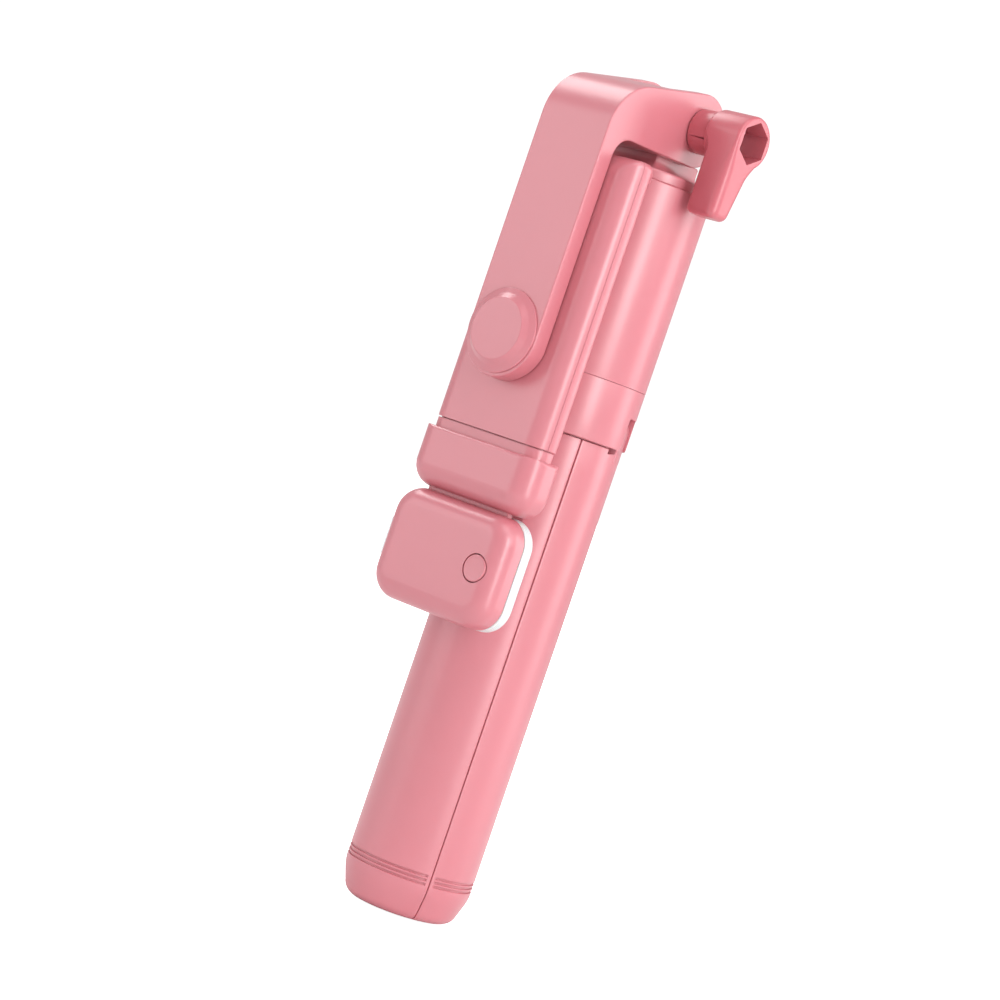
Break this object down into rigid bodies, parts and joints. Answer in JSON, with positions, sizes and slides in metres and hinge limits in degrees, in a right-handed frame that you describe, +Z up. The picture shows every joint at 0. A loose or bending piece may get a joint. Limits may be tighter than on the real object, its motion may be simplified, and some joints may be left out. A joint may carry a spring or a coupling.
{
  "type": "tripod selfie stick",
  "caption": "Folding selfie stick: a round handle that splits into tripod legs, telescopic pole, tilting L-arm with lever, sprung phone clamp and a small fill light.",
  "frame": {"origin": "centre of the handle's bottom end, on the axis of the pole", "axes": "+Z up the stick from the legs' ends to the arm, -Y the front where the arm, clamp and light lie, +X the side of the tightening lever"},
  "size_m": [0.0438, 0.0487, 0.1994],
  "materials": {
    "shell_plastic": "satin moulded pink plastic",
    "steel_tube": "polished drawn tube",
    "steel_hardware": "plain zinc plated",
    "dark_plastic": "moulded nylon",
    "jaw_rubber": "soft moulded rubber",
    "diffuser": "milky translucent",
    "circuit_board": "solder mask",
    "battery_foil": "foil pouch"
  },
  "bodies": {
    "hub": {"hub_body": "shell_plastic", "pole_base_plug": "shell_plastic", "pole_section_1": "steel_tube", "leg_pin_front": "steel_hardware", "leg_pin_right": "steel_hardware", "leg_pin_left": "steel_hardware"},
    "leg_front": {"leg_front": "shell_plastic"},
    "leg_right": {"leg_right": "shell_plastic"},
    "leg_left": {"leg_left": "shell_plastic"},
    "section_2": {"pole_section_2": "steel_tube", "stop_collar_2": "dark_plastic"},
    "section_3": {"pole_section_3": "steel_tube", "stop_collar_3": "dark_plastic"},
    "section_4": {"pole_section_4": "steel_tube", "stop_collar_4": "dark_plastic"},
    "head": {"pole_section_5": "steel_tube", "stop_collar_5": "dark_plastic", "head_sleeve": "shell_plastic", "head_cap": "shell_plastic", "head_pin": "steel_hardware"},
    "arm": {"arm_body": "shell_plastic", "disc_cap": "shell_plastic", "pivot_nut": "steel_hardware", "friction_washer_right": "dark_plastic", "friction_washer_left": "dark_plastic"},
    "knob": {"knob_lever": "shell_plastic", "clamp_bolt": "steel_hardware"},
    "clamp": {"clamp_front_shell": "shell_plastic", "clamp_back_cover": "shell_plastic", "upper_jaw_pad": "jaw_rubber", "clamp_spring_right": "steel_hardware", "clamp_spring_left": "steel_hardware", "cover_screw_right_1": "steel_hardware", "cover_screw_right_2": "steel_hardware", "cover_screw_left_1": "steel_hardware", "cover_screw_left_2": "steel_hardware", "swivel_screw": "steel_hardware", "spring_washer": "steel_hardware"},
    "jaw": {"jaw_body": "shell_plastic", "lower_jaw_pad": "jaw_rubber", "guide_rod_right": "steel_hardware", "guide_rod_left": "steel_hardware", "rod_stop_right": "steel_hardware", "rod_stop_left": "steel_hardware", "light_neck": "shell_plastic", "light_housing": "shell_plastic", "light_diffuser": "diffuser", "light_board": "circuit_board", "light_battery": "battery_foil", "button_switch": "dark_plastic", "charge_socket": "steel_hardware"},
    "button": {"light_button": "shell_plastic"}
  },
  "joints": [
    {"name": "pole_slide_1", "type": "slide", "parent": "hub", "child": "section_2", "axis": [0, 0, 1], "range_m": [0, 0.135]},
    {"name": "pole_slide_2", "type": "slide", "parent": "section_2", "child": "section_3", "axis": [0, 0, 1], "range_m": [0, 0.135]},
    {"name": "pole_slide_3", "type": "slide", "parent": "section_3", "child": "section_4", "axis": [0, 0, 1], "range_m": [0, 0.135]},
    {"name": "pole_slide_4", "type": "slide", "parent": "section_4", "child": "head", "axis": [0, 0, 1], "range_m": [0, 0.135]},
    {"name": "leg_front_hinge", "type": "hinge", "parent": "hub", "child": "leg_front", "pos_m": [0, -0.01135, 0.1203], "axis": [-1, 0, 0], "range_deg": [0, 1]},
    {"name": "leg_right_hinge", "type": "hinge", "parent": "hub", "child": "leg_right", "pos_m": [0.00983, 0.00568, 0.1203], "axis": [0.5, -0.866, 0], "range_deg": [0, 65]},
    {"name": "leg_left_hinge", "type": "hinge", "parent": "hub", "child": "leg_left", "pos_m": [-0.00983, 0.00568, 0.1203], "axis": [0.5, 0.866, 0], "range_deg": [0, 65]},
    {"name": "arm_tilt", "type": "hinge", "parent": "head", "child": "arm", "pos_m": [0, 0.0005, 0.1909], "axis": [-1, 0, 0], "range_deg": [0, 200]},
    {"name": "lever_turn", "type": "hinge", "parent": "arm", "child": "knob", "pos_m": [0.013, 0.0005, 0.1909], "axis": [1, 0, 0], "continuous": true},
    {"name": "clamp_turn", "type": "hinge", "parent": "arm", "child": "clamp", "pos_m": [0, -0.026, 0.1329], "axis": [0, -1, 0], "range_deg": [-120, 120]},
    {"name": "jaw_slide", "type": "slide", "parent": "clamp", "child": "jaw", "axis": [0, 0, -1], "range_m": [0, 0.025], "stiffness_N_per_m": 200, "springref_m": -0.01, "deforming": ["clamp_spring_right", "clamp_spring_left"]},
    {"name": "button_press", "type": "slide", "parent": "jaw", "child": "button", "axis": [0, 1, 0], "range_m": [0, 0.0004], "stiffness_N_per_m": 2000, "springref_m": -0.0002}
  ]
}
